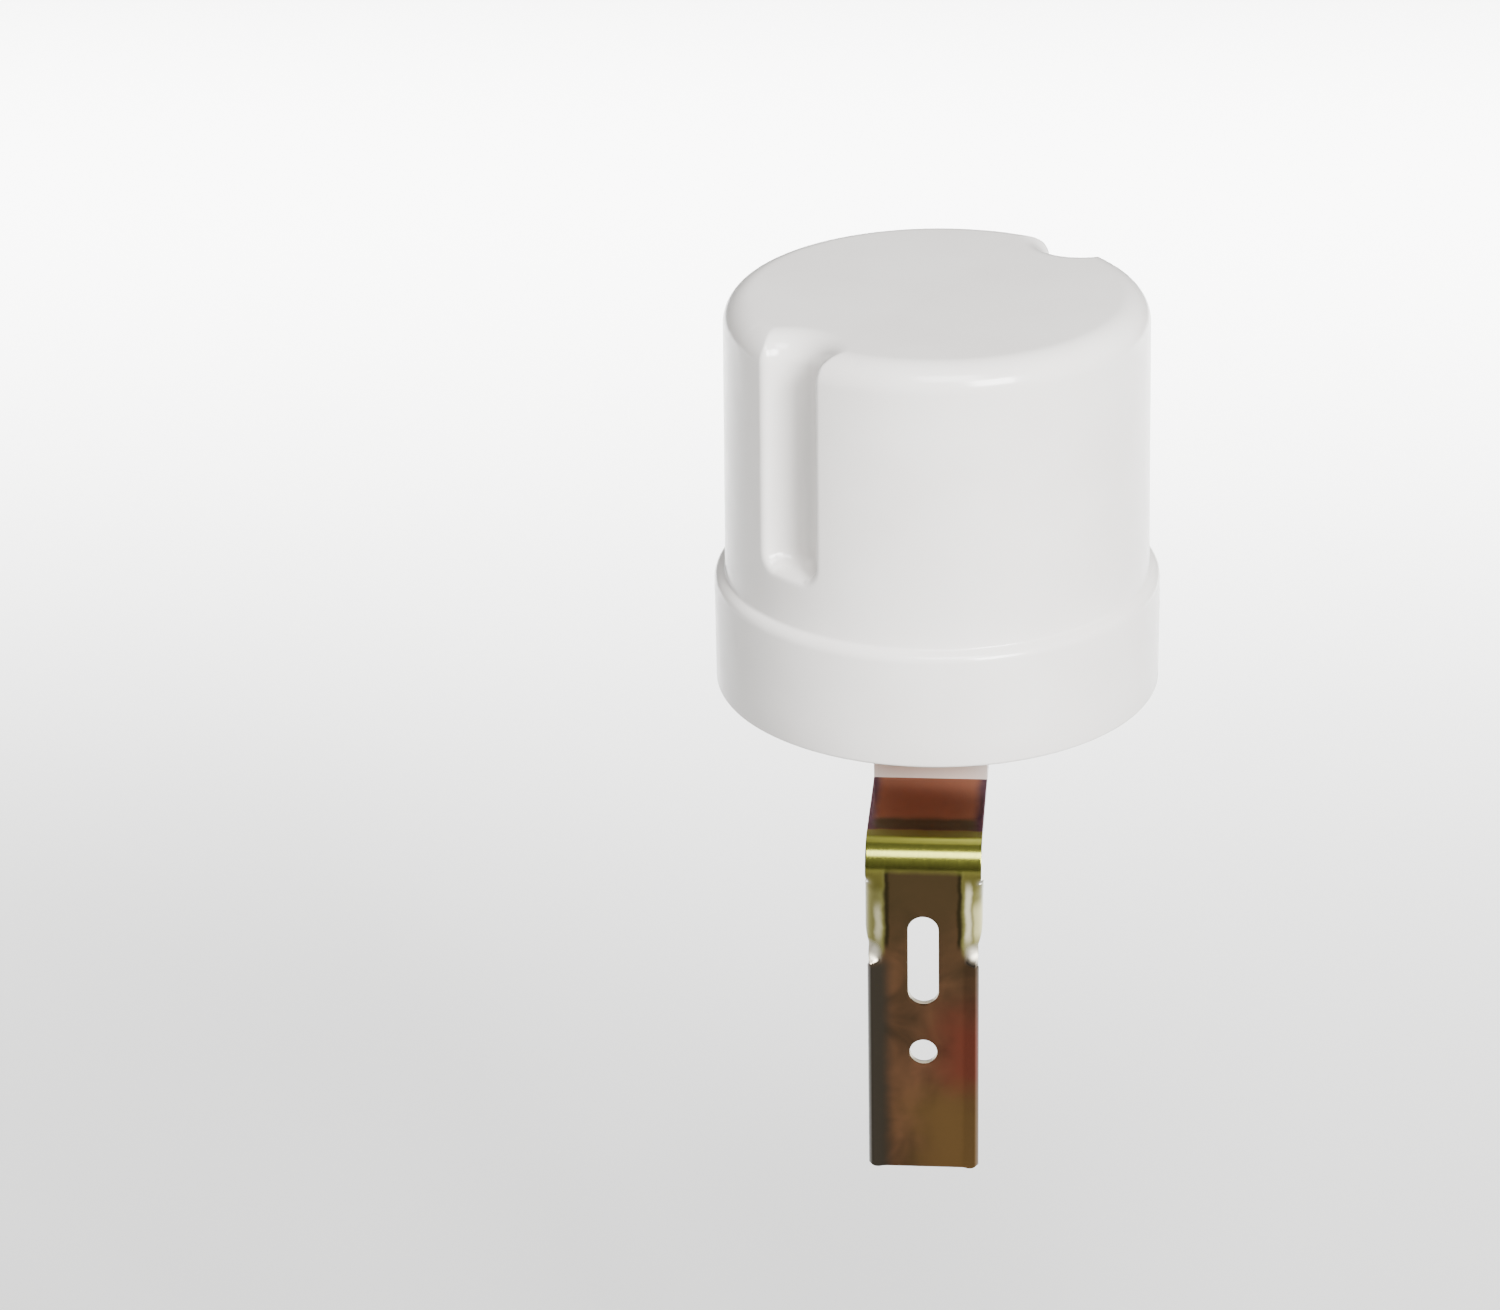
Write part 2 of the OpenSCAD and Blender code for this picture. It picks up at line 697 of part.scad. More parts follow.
module relay_closed_contact() {
    color("darkgoldenrod") in_relay()
        fixed_contact(closed_pin, blade_z + blade_t + 2 * contact_h + contact_rest, false);
}

module relay_open_contact() {
    color("darkgoldenrod") in_relay()
        fixed_contact(open_pin, blade_z - 2 * contact_h - contact_gap - tab_t, true);
}

module dropper_capacitor() {
    color("firebrick") on_board() {
        translate([dropper_at[0], dropper_at[1], side_gap]) soft_box(dropper, over);
        for (p = pair(dropper_at, dropper_pitch, lead_r)) lead(p, over);
    }
}

// A standing can with a groove near its foot
module can(at, size) {
    translate([at[0], at[1], side_gap]) rotate_extrude() difference() {
        square([size[0], size[1]]);
        translate([size[0] + side_gap, 2]) circle(2 * side_gap);
    }
    for (p = pair(at, size[0], lead_r)) lead(p, over);
}

module smoothing_capacitor() {
    color("midnightblue") on_board() can(smoother_at, smoother);
}

module timing_capacitor() {
    color("darkslategray") on_board() can(timer_at, timer);
}

// An axial part lying on the board, its leads bent down into the holes
module axial_part(at, size) {
    rise = size[0] + side_gap;
    turn_r = 2 * lead_r;
    translate([at[0], at[1], rise]) rotate([90, 0, 0]) cylinder(r = size[0], h = size[1], center = true);
    for (s = [0, 1]) translate([at[0], at[1], rise]) mirror([0, s, 0]) {
        rotate([-90, 0, 0]) cylinder(r = lead_r, h = axial_pitch / 2 - turn_r);
        translate([0, axial_pitch / 2 - turn_r, -turn_r]) rotate([90, 0, 90]) rotate_extrude(angle = 90)
            translate([turn_r, 0]) circle(lead_r);
        translate([0, axial_pitch / 2, -rise - board_t - lead_tail])
            cylinder(r = lead_r, h = rise - turn_r + board_t + lead_tail);
    }
}

module rectifier_diodes() {
    color("dimgray") on_board() for (at = diode_spots) axial_part(at, diode);
}

module zener_diode() {
    color("orangered") on_board() axial_part(zener_at, zener);
}

module resistors() {
    color("tan") on_board() for (at = resistor_spots) axial_part(at, resistor);
}

module driver_transistor() {
    color("black") on_board() {
        translate([transistor_at[0], transistor_at[1], transistor_up]) difference() {
            cylinder(r = transistor_r, h = 2 * transistor_r);
            translate([-transistor_r, -2 * transistor_r - transistor_r / 2, -over])
                cube([2 * transistor_r, 2 * transistor_r, 2 * transistor_r + 2 * over]);
        }
        for (i = [-1 : 1]) lead([transistor_at[0] + i * transistor_pitch, transistor_at[1]], transistor_up + over);
    }
}

module varistor() {
    color("royalblue") on_board() {
        translate([varistor_at[0], varistor_at[1], varistor_size[0] + over]) rotate([90, 0, 0])
            cylinder(r = varistor_size[0], h = varistor_size[1], center = true);
        for (p = pair(varistor_at, varistor_pitch, lead_r)) lead(p, varistor_size[0] / 2 + over);
    }
}

cap();
base();
bracket();
cap_screws();
bracket_screws();
circuit_board();
photocell();
photocell_leads();
photocell_sleeves();
relay_case();
relay_base();
relay_yoke();
relay_core();
relay_bobbin();
relay_winding();
relay_coil_pins();
relay_armature();
relay_contact_blade();
relay_closed_contact();
relay_open_contact();
dropper_capacitor();
smoothing_capacitor();
timing_capacitor();
rectifier_diodes();
zener_diode();
driver_transistor();
resistors();
varistor();
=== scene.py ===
# %% [markdown]
# # A photocell switch on its bracket
# A photocell switch turns a lamp on at dusk. A white moulded cap covers the circuit, and a folded, plated
# steel bracket holds it off a wall or a pole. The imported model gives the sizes, so every piece here is built
# in its frame, in metres, and only the two pieces that the eye rests on, the cap and the bracket, are
# modelled anew.

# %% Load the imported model
import json
import math

import bmesh
import bpy
from mathutils import Matrix, Quaternion, Vector


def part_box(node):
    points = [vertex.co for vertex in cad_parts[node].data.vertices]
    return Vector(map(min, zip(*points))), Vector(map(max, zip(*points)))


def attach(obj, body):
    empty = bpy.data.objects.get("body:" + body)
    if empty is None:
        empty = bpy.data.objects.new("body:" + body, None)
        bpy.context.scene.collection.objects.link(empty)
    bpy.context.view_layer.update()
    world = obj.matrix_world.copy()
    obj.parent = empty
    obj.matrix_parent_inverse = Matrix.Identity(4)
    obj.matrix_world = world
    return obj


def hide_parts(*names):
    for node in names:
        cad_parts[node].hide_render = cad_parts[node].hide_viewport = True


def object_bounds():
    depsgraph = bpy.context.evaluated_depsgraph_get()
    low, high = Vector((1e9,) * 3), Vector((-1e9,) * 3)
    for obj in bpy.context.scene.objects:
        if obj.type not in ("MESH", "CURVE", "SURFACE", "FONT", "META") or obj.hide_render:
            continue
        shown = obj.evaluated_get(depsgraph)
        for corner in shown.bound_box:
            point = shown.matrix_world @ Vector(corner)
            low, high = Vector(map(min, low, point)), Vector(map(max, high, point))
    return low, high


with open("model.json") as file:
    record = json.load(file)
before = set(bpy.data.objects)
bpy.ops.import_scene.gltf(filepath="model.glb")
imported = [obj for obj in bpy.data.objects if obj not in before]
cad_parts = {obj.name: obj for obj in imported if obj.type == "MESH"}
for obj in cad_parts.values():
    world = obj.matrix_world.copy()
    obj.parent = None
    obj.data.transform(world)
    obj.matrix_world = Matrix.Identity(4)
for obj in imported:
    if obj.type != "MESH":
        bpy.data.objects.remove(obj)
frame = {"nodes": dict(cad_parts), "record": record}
cad_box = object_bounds()
MM = 0.001
cap_low, cap_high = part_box("cap")
axis_foot = Vector(((cap_low.x + cap_high.x) / 2, (cap_low.y + cap_high.y) / 2, cap_low.z))
print("nodes", len(frame["nodes"]), "axis foot", [round(c, 4) for c in axis_foot])

# %% [markdown]
# ## Camera
# The photograph looks a little down on the cap, almost square to the bracket, with a long lens. The object
# stands to the right of the middle, so the camera aims to the left of it. A small turn about the line of
# sight sets the cap upright, which a lens pointed off to one side would otherwise lean over.

# %% Place the camera
SENSOR_MM, LENS_MM, ROLL = 36.0, 110.393, -1.154
EYE = Vector((0.03370, -0.65197, 0.37225))
AIM = Vector((-0.02981, 0.03000, 0.05665))
camera_data = bpy.data.cameras.new("camera")
camera_data.sensor_width = SENSOR_MM
camera_data.lens = LENS_MM
camera = bpy.data.objects.new("camera", camera_data)
bpy.context.scene.collection.objects.link(camera)
camera.location = EYE
camera.rotation_mode = "QUATERNION"
sight = (AIM - EYE).to_track_quat("-Z", "Y")
camera.rotation_quaternion = sight @ Quaternion((0, 0, 1), math.radians(ROLL))
bpy.context.scene.camera = camera
print("camera to aim point", round((AIM - EYE).length, 3), "m")

# %% [markdown]
# ## Stage
# A finished mesh becomes an object through one helper, which also turns on smooth shading. The switch hangs
# on its bracket, so the pale floor lies well below it and catches only a faint shadow.

# %% Make the floor
FLOOR_DROP, FLOOR_HALF = 0.13, 12.0


def make_object(name, bm):
    mesh = bpy.data.meshes.new(name)
    bm.to_mesh(mesh)
    bm.free()
    mesh.shade_smooth()
    obj = bpy.data.objects.new(name, mesh)
    bpy.context.scene.collection.objects.link(obj)
    return obj


floor_z = cad_box[0].z - FLOOR_DROP
bm = bmesh.new()
bmesh.ops.create_grid(bm, x_segments=2, y_segments=2, size=FLOOR_HALF)
bmesh.ops.translate(bm, vec=(0, 0, floor_z), verts=bm.verts)
floor = make_object("floor", bm)
print("floor at", round(floor_z, 3), "m")

# %% [markdown]
# ## Light
# The room is dim, and a little brighter overhead than at eye level. One helper adds a node, sets its
# properties, fills or links its inputs and places the stops of a colour ramp, here and in every finish.

# %% Set the room light
ROOM_LOW, ROOM_HIGH, ROOM_TOP = 0.25, 0.44, 0.9


def add(tree, kind, inputs=None, stops=(), **settings):
    made = tree.nodes.new("ShaderNode" + kind)
    for name, value in settings.items():
        setattr(made, name, value)
    for name, value in (inputs or {}).items():
        if isinstance(value, bpy.types.NodeSocket):
            tree.links.new(value, made.inputs[name])
        else:
            made.inputs[name].default_value = value
    for _ in stops[2:]:
        made.color_ramp.elements.new(0.5)
    for i, (position, colour) in enumerate(stops):
        made.color_ramp.elements[i].position = position
        made.color_ramp.elements[i].color = colour
    return made


world = bpy.data.worlds.new("studio")
bpy.context.scene.world = world
world.use_nodes = True
tree = world.node_tree
way = add(tree, "TexCoord").outputs["Generated"]
height = add(tree, "SeparateXYZ", {"Vector": way}).outputs["Z"]
span = {"From Min": 0.0, "From Max": ROOM_TOP, "To Min": ROOM_LOW, "To Max": ROOM_HIGH}
rise = add(tree, "MapRange", {"Value": height, **span})
tree.links.new(rise.outputs["Result"], tree.nodes["Background"].inputs["Strength"])
tree.nodes["Background"].inputs["Color"].default_value = (1.0, 1.0, 1.0, 1.0)
print("room light from", ROOM_LOW, "to", ROOM_HIGH)

# %% [markdown]
# A soft key stands on the right of the camera, so the front of the cap is brighter than its top and the left
# falls into shade. A second soft box above the camera draws the bright line along the bracket's bend. A wide
# lamp with a narrow beam whitens the floor behind without touching the cap.

# %% Set the lamps
middle = (cad_box[0] + cad_box[1]) / 2
# Name, place, aim, width, height, watts and beam in degrees.
LAMPS = [
    ("key", (0.60, -0.85, 0.66), middle, 0.45, 0.45, 40, 180.0),
    ("bend_light", (0.16, -0.75, 1.10), middle, 0.6, 0.5, 18, 180.0),
    ("floor_wash", (-0.1, 0.9, 0.45), (-0.1, 0.9, 0.0), 2.0, 0.6, 45, 95.0),
]
for name, place, aim, width, tall, watts, beam in LAMPS:
    data = bpy.data.lights.new(name, "AREA")
    data.shape = "RECTANGLE"
    data.size = width
    data.size_y = tall
    data.energy = watts
    data.spread = math.radians(beam)
    lamp = bpy.data.objects.new(name, data)
    bpy.context.scene.collection.objects.link(lamp)
    lamp.location = place
    lamp.rotation_mode = "QUATERNION"
    lamp.rotation_quaternion = (Vector(aim) - Vector(place)).to_track_quat("-Z", "Y")

# %% [markdown]
# ## The cap as a turned form
# The cap is moulded: a tapered body with a rounded crown, a rounded shoulder and a wider skirt, hollow
# inside. A lathe gives that shape, so the half section is drawn in millimetres and spun about the axis.

# %% Sizes and curves of the cap
SKIRT_R, SKIRT_H, SHOULDER, FILLET = 36.985, 20.0, 1.8, 0.6
CAP_H, CROWN, WALL, TAPER = 67.7, 4.7, 2.0, 0.5
OUTER_EDGE, INNER_EDGE = 0.6, 0.4
BODY_R = SKIRT_R - SHOULDER
TOP_R = BODY_R - TAPER
crown_z = CAP_H - CROWN
shoulder_z = SKIRT_H - SHOULDER
seat_z = SKIRT_H - WALL - SHOULDER / 2


def arc(centre, radius, start, end, steps):
    angles = [math.radians(start + (end - start) * i / steps) for i in range(steps + 1)]
    return [(centre[0] + radius * math.cos(a), centre[1] + radius * math.sin(a)) for a in angles]


def line(start, end, steps):
    return [tuple(a + (b - a) * i / steps for a, b in zip(start, end)) for i in range(1, steps)]


def wall_r(z):
    return BODY_R + (TOP_R - BODY_R) * (z - shoulder_z) / (crown_z - shoulder_z)


print("body from", round(BODY_R, 3), "to", round(TOP_R, 3), "mm")

# %% [markdown]
# The points lie close together where the channels will be, and far apart in the middle of the top.

# %% Draw the cap's half section
DISC_R, WALL_MID, WALL_LOW, INSIDE_LOW = 20.0, 36.0, 24.5, 25.0
lean = math.degrees(math.acos(FILLET / (SHOULDER + FILLET)))
fillet_at = (BODY_R + FILLET, shoulder_z + (SHOULDER + FILLET) * math.sin(math.radians(lean)))
crown_at = (TOP_R - CROWN, crown_z)
disc, inner_disc = (DISC_R, CAP_H), (DISC_R, CAP_H - WALL)
wall_mid, wall_low = (wall_r(WALL_MID), WALL_MID), (wall_r(WALL_LOW), WALL_LOW)
inside_low = (wall_r(INSIDE_LOW) - WALL, INSIDE_LOW)
section = [(0.0, CAP_H)] + line((0.0, CAP_H), disc, 4) + line(disc, (TOP_R - CROWN, CAP_H), 20)
section += arc(crown_at, CROWN, 90, 0, 18)
section += line((TOP_R, crown_z), wall_mid, 20) + line(wall_mid, wall_low, 20)
section += arc(fillet_at, FILLET, 180, 180 + lean, 4)
section += arc((BODY_R, shoulder_z), SHOULDER, lean, 0, 6)
section += line((SKIRT_R, shoulder_z), (SKIRT_R, OUTER_EDGE), 4)
section += arc((SKIRT_R - OUTER_EDGE, OUTER_EDGE), OUTER_EDGE, 0, -90, 4)
section += arc((SKIRT_R - WALL + INNER_EDGE, INNER_EDGE), INNER_EDGE, -90, -180, 3)
section += [(SKIRT_R - WALL, seat_z), (BODY_R - WALL, seat_z)]
section += line((BODY_R - WALL, seat_z), inside_low, 2)
section += line(inside_low, (TOP_R - WALL, crown_z), 18)
section += arc(crown_at, CROWN - WALL, 0, 90, 8)
section += line((TOP_R - CROWN, CAP_H - WALL), inner_disc, 6)
section += line(inner_disc, (0.0, CAP_H - WALL), 3) + [(0.0, CAP_H - WALL)]
print("half section", len(section), "points")

# %% [markdown]
# Two upright channels break the wall, so the spin goes in four arcs, with fine steps across the channels and
# coarse ones elsewhere.

# %% Spin the section in arcs
CHANNEL_TURN, SECTOR = 40.5, 21.0
FINE_STEPS, COARSE_STEPS, WELD = 140, 92, 0.001
channel_bearings = [-90.0 - CHANNEL_TURN, 90.0 - CHANNEL_TURN]
bm = bmesh.new()
start = math.radians(channel_bearings[0] - SECTOR)
points = [bm.verts.new((r * math.cos(start), r * math.sin(start), z)) for r, z in section]
edge = points + [bm.edges.new(pair) for pair in zip(points, points[1:])]
half_turn = [(2 * SECTOR, FINE_STEPS), (180 - 2 * SECTOR, COARSE_STEPS)]
for turn, steps in half_turn * 2:
    angle = math.radians(turn)
    swept = bmesh.ops.spin(bm, geom=edge, axis=(0, 0, 1), cent=(0, 0, 0), angle=angle, steps=steps)
    edge = swept["geom_last"]
bmesh.ops.remove_doubles(bm, verts=bm.verts, dist=WELD)
bmesh.ops.recalc_face_normals(bm, faces=bm.faces)
print("cap", len(bm.verts), "points", len(bm.faces), "faces")

# %% [markdown]
# ## The channels
# Two half-round channels run down the wall from the top, where the screws that hold the cap go up inside. The
# rounding of the top follows the wall into each channel and out again, which a boolean cut wouldn't give. So
# the shape is written as a depth: how far a point lies outside the body less its channels, with every edge
# rounded.

# %% Depth of the channelled body
CHANNEL_R, CHANNEL_Z, FOOT_R, RIM, CHANNEL_INSET = 5.5, 29.0, 2.5, 1.3, 0.25
CHANNEL_AT = BODY_R - CHANNEL_INSET


def rounded(a, b, radius):
    return min(-radius, max(a, b)) + math.hypot(max(radius + a, 0.0), max(radius + b, 0.0))


def body_depth(r, z):
    return rounded(r - wall_r(z), z - CAP_H, CROWN)


def channel_depth(r, z, swing):
    square = r * r + CHANNEL_AT**2 - 2 * r * CHANNEL_AT * math.cos(swing)
    off = math.sqrt(max(square, 0.0)) - CHANNEL_R + FOOT_R
    down = CHANNEL_Z + FOOT_R - z
    return min(max(off, down), 0.0) + math.hypot(max(off, 0.0), max(down, 0.0)) - FOOT_R


def cap_depth(r, z, swing):
    side = rounded(r - wall_r(z), -channel_depth(r, z, swing), RIM)
    return rounded(side, z - CAP_H, CROWN)


print("channels at", channel_bearings, "degrees,", round(CHANNEL_AT, 3), "mm out")

# %% [markdown]
# The lathe's points near a channel are then pushed in, each along its own line, until their depth is nought.
# The same push, two millimetres deeper, moves the inner wall with it.

# %% Push the channels in
PUSH_FROM_Z, PUSH_STEPS, PUSH_SHARE, NEAR = 24.4, 80, 0.8, 0.0005
heart = Vector((18.0, 55.0))
inward = Vector((-1.0, 0.0))


def swing_from(bearing, centre):
    return abs((bearing - math.radians(centre) + math.pi) % (2 * math.pi) - math.pi)


moved = 0
for v in bm.verts:
    r, z = math.hypot(v.co.x, v.co.y), v.co.z
    bearing = math.atan2(v.co.y, v.co.x)
    swing = min(swing_from(bearing, centre) for centre in channel_bearings)
    if z < PUSH_FROM_Z or r < heart.x or swing > math.radians(SECTOR):
        continue
    level = -WALL if body_depth(r, z) < -WALL / 2 else 0.0
    at = Vector((r, z))
    way = inward if z < heart.y else (heart - at).normalized()
    for step in range(PUSH_STEPS):
        gap = cap_depth(at.x, at.y, swing) - level
        if gap < NEAR:
            break
        at += way * gap * PUSH_SHARE
    v.co = (at.x * math.cos(bearing), at.x * math.sin(bearing), at.y)
    moved += step > 0
bmesh.ops.scale(bm, vec=(MM, MM, MM), verts=bm.verts)
bmesh.ops.translate(bm, vec=axis_foot, verts=bm.verts)
cap = make_object("cap_shell", bm)
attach(cap, "housing")
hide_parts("cap")
print("pushed", moved, "points")

# %% [markdown]
# ## The bracket as a folded blank
# The bracket is stamped from one strip: a flat arm under the base, a round bend, and an upright plate whose
# sides are drawn back into ears near the bend and rolled forward into lips below. A grid is a good blank for
# that: its rows run along the strip and its columns across, and each point is carried to where the fold
# takes it. First comes the form of the plate's sides at each height.

# %% Form of the plate's sides
SHEET, BEND_R, ARM_Z, ARM_END, PLATE_END = 1.2, 4.8, 37.2, 39.8, -21.6
FLAT_HALF, ARM_HALF = 6.15, 9.3
PLATE_TOP = ARM_Z - BEND_R
EAR_ARC, EAR_RUN, EAR_FOOT = 5.2, 10.2, 18.6
LIP_ARC, LIP_RUN, LIP_TURN, EAR_TURN = 0.92, 2.5, -29.5, 90.0
TWIST_BELOW, TWIST_ABOVE = 2.4, 1.2
EAR_START, EAR_RISE = 0.8, 10.2
TOP_TWIST, TOP_NONE, TOP_FULL = 2.6, 2.0, 4.6


def smooth_step(low, high, value):
    t = min(max((value - low) / (high - low), 0.0), 1.0)
    return t * t * (3 - 2 * t)


def mix(a, b, t):
    return a + (b - a) * t


def side_form(z):
    """Turn, arc length and run of the plate's side at a height, backward turns being positive."""
    lower = smooth_step(EAR_FOOT - TWIST_BELOW, EAR_FOOT + TWIST_ABOVE, z)
    upper = smooth_step(PLATE_TOP - TOP_TWIST, PLATE_TOP, z)
    depth = min(max((z - EAR_FOOT - EAR_START) / EAR_RISE, 0.0), 1.0)
    depth *= smooth_step(PLATE_TOP - TOP_NONE, PLATE_TOP - TOP_FULL, z)
    turn = mix(mix(LIP_TURN, EAR_TURN, lower), 0.0, upper)
    run = mix(LIP_RUN, ARM_HALF - FLAT_HALF, lower)
    return turn, mix(LIP_ARC, EAR_ARC, lower), mix(run, EAR_RUN, depth)


print("plate from", PLATE_END, "to", round(PLATE_TOP, 2), "mm")

# %% [markdown]
# Rows lie close together where the sides twist: just under the bend and at the ears' feet.

# %% Lay out the blank
ARM_ROW, ARM_ROWS, BEND_ROWS, TAIL_ROWS, FLAT_COLUMNS = 3.25, 10, 14, 8, 6
PLATE_ROWS = [(0.2, 20), (0.68, 11), (0.25, 24), (1.5, 21)]
SIDE_COLUMNS = [0.06, 0.14, 0.23, 0.33, 0.44, 0.56, 0.68, 0.8, 0.91, 1.0]
bend_start = ARM_END - BEND_R
bend_run = BEND_R * math.pi / 2
row_places = [0.0, 1.0] + [2.0 + ARM_ROW * i for i in range(ARM_ROWS)] + [bend_start]
row_places += [bend_start + bend_run * i / BEND_ROWS for i in range(1, BEND_ROWS + 1)]
plate_start = row_places[-1]
drop = 0.0
for spacing, count in PLATE_ROWS:
    row_places += [plate_start + drop + spacing * i for i in range(1, count + 1)]
    drop += spacing * count
tail = PLATE_TOP - PLATE_END - drop
row_places += [plate_start + drop + tail * i / TAIL_ROWS for i in range(1, TAIL_ROWS + 1)]
columns = [-1.0 - f for f in reversed(SIDE_COLUMNS)]
columns += [i / FLAT_COLUMNS for i in range(-FLAT_COLUMNS, FLAT_COLUMNS + 1)]
columns += [1.0 + f for f in SIDE_COLUMNS]
print("blank", len(row_places), "rows", len(columns), "columns")

# %% [markdown]
# A point of the blank is first carried sideways round the ear or lip, and then along the strip round the
# bend. The plate's lower corners are rounded by lifting them a little.

# %% Fold the blank
CORNER_FROM, CORNER_R, CORNER_RISE = 6.9, 2.0, 4.0
FLAT_TURN, ROW_SLACK = 1e-4, 0.001


def sideways(column, turn, arc_run, run):
    out = min(abs(column), 1.0) * FLAT_HALF
    along = max(abs(column) - 1.0, 0.0) * run
    bent = min(along, arc_run)
    rad = math.radians(turn)
    if abs(rad) < FLAT_TURN:
        return out + along, 0.0
    swept_turn = rad * bent / arc_run
    x = out + arc_run / rad * math.sin(swept_turn) + (along - bent) * math.cos(rad)
    back = arc_run / rad * (1 - math.cos(swept_turn)) + (along - bent) * math.sin(rad)
    return x, back


def folded(column, place):
    z = PLATE_TOP - max(place - plate_start, 0.0)
    on_plate = place > plate_start - ROW_SLACK
    x, back = sideways(column, *(side_form(z) if on_plate else (0.0, 1.0, ARM_HALF - FLAT_HALF)))
    side = math.copysign(1.0, column)
    if place <= bend_start:
        return Vector((side * x, ARM_END - place, ARM_Z))
    if place <= plate_start:
        swept_bend = (place - bend_start) / BEND_R
        y = BEND_R - BEND_R * math.sin(swept_bend)
        return Vector((side * x, y, PLATE_TOP + BEND_R * math.cos(swept_bend)))
    corner = max(x - CORNER_FROM, 0.0)
    lift = CORNER_R - math.sqrt(max(CORNER_R**2 - corner * corner, 0.0))
    lift *= smooth_step(PLATE_END + CORNER_RISE, PLATE_END, z)
    return Vector((side * x, back, z + lift))


bm = bmesh.new()
x_segments, y_segments = len(columns) - 1, len(row_places) - 1
bmesh.ops.create_grid(bm, x_segments=x_segments, y_segments=y_segments, size=1.0)
for v in bm.verts:
    i = round((v.co.x + 1) / 2 * x_segments)
    j = round((v.co.y + 1) / 2 * y_segments)
    v.co = folded(columns[i], row_places[j])
bm.normal_update()
arm_face = max(bm.faces, key=lambda f: f.calc_center_median().y)
if arm_face.normal.z < 0:
    bmesh.ops.reverse_faces(bm, faces=bm.faces)
bmesh.ops.scale(bm, vec=(MM, MM, MM), verts=bm.verts)
bracket = make_object("bracket_sheet", bm)
print("folded sheet", len(bracket.data.vertices), "points")

# %% [markdown]
# ## Thickness and holes
# The slot, the round hole and the two screw holes are punched after folding, all of them through flat metal,
# so a boolean cut is clean. The punches are plain pins, and the slot's pin is drawn out along the plate.

# %% Make the punches
HOLE_R, SLOT_R, SLOT_Z, SLOT_REACH = 2.25, 2.5, 16.8, 5.5
SCREW_HOLE_R, SCREW_REACHES = 2.25, (11.6, 19.0)
PIN_LENGTH, PIN_SIDES = 8.0, 46


def pin(bm, radius, centre, along_y, stretch=0.0):
    size = {"radius1": radius, "radius2": radius, "depth": PIN_LENGTH}
    verts = bmesh.ops.create_cone(bm, cap_ends=True, segments=PIN_SIDES, **size)["verts"]
    if along_y:
        quarter = Matrix.Rotation(math.pi / 2, 3, "X")
        bmesh.ops.rotate(bm, cent=(0, 0, 0), matrix=quarter, verts=verts)
    for v in verts:
        v.co.z += math.copysign(stretch, v.co.z)
    bmesh.ops.translate(bm, vec=centre, verts=verts)


bm = bmesh.new()
pin(bm, HOLE_R, (0, 0, 0), True)
pin(bm, SLOT_R, (0, 0, SLOT_Z), True, SLOT_REACH)
for reach in SCREW_REACHES:
    pin(bm, SCREW_HOLE_R, (0, axis_foot.y / MM - reach, ARM_Z), False)
bmesh.ops.recalc_face_normals(bm, faces=bm.faces)
bmesh.ops.scale(bm, vec=(MM, MM, MM), verts=bm.verts)
punches = make_object("punches", bm)
print("punches", len(punches.data.vertices), "points")

# %% [markdown]
# The sheet gets its thickness on the inner side, away from the face that meets the wall. After the cut, a
# small bevel breaks every edge, as tumbling does to stamped parts.

# %% Press and punch the bracket
BROKEN_EDGE, BROKEN_ANGLE, SHARP_ANGLE = 0.16, 55, 40
wall = bracket.modifiers.new("thickness", "SOLIDIFY")
wall.thickness = SHEET * MM
wall.offset = -1.0
wall.use_even_offset = True
punch = bracket.modifiers.new("holes", "BOOLEAN")
punch.operation = "DIFFERENCE"
punch.solver = "EXACT"
punch.object = punches
broken = bracket.modifiers.new("broken_edges", "BEVEL")
broken.width = BROKEN_EDGE * MM
broken.segments = 2
broken.limit_method = "ANGLE"
broken.angle_limit = math.radians(BROKEN_ANGLE)
evaluated = bracket.evaluated_get(bpy.context.evaluated_depsgraph_get())
pressed = bpy.data.meshes.new_from_object(evaluated)
bracket.modifiers.clear()
bracket.data = pressed
pressed.shade_smooth()
pressed.set_sharp_from_angle(angle=math.radians(SHARP_ANGLE))
bpy.data.objects.remove(punches)
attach(bracket, "housing")
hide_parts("bracket")
print("bracket", len(pressed.vertices), "points", len(pressed.polygons), "faces")

# %% [markdown]
# ## Finishes
# Colours are picked as sRGB hex values and turned to the linear numbers that the renderer works in. Patterns
# use Object coordinates, and their scale is one over the real size in metres.

# %% Helpers for the finishes
def linear(code):
    parts = [int(code[i : i + 2], 16) / 255 for i in (1, 3, 5)]
    return tuple(p / 12.92 if p <= 0.04045 else ((p + 0.055) / 1.055) ** 2.4 for p in parts) + (1.0,)


def per(size_mm):
    return 1.0 / (size_mm * MM)


def new_finish(name):
    finish = bpy.data.materials.new(name)
    finish.use_nodes = True
    tree = finish.node_tree
    tree.nodes.clear()
    return finish, tree, add(tree, "TexCoord").outputs["Object"]


def shade(tree, inputs):
    shader = add(tree, "BsdfPrincipled", inputs)
    add(tree, "OutputMaterial", {"Surface": shader.outputs["BSDF"]})


# %% [markdown]
# ### Moulded plastics
# Cap, base, relay shell and the rest are moulded or dipped. To the eye that gives an even colour that drifts
# very slightly, a gloss that varies where the mould was polished, and a faint orange peel. One recipe serves
# them all, with its own colours, gloss and size of peel.

# %% Recipe for moulded plastics
DRIFT_MM, POLISH_MM, PEEL_STRENGTH, PLASTIC_IOR = 18, 7, 0.5, 1.5


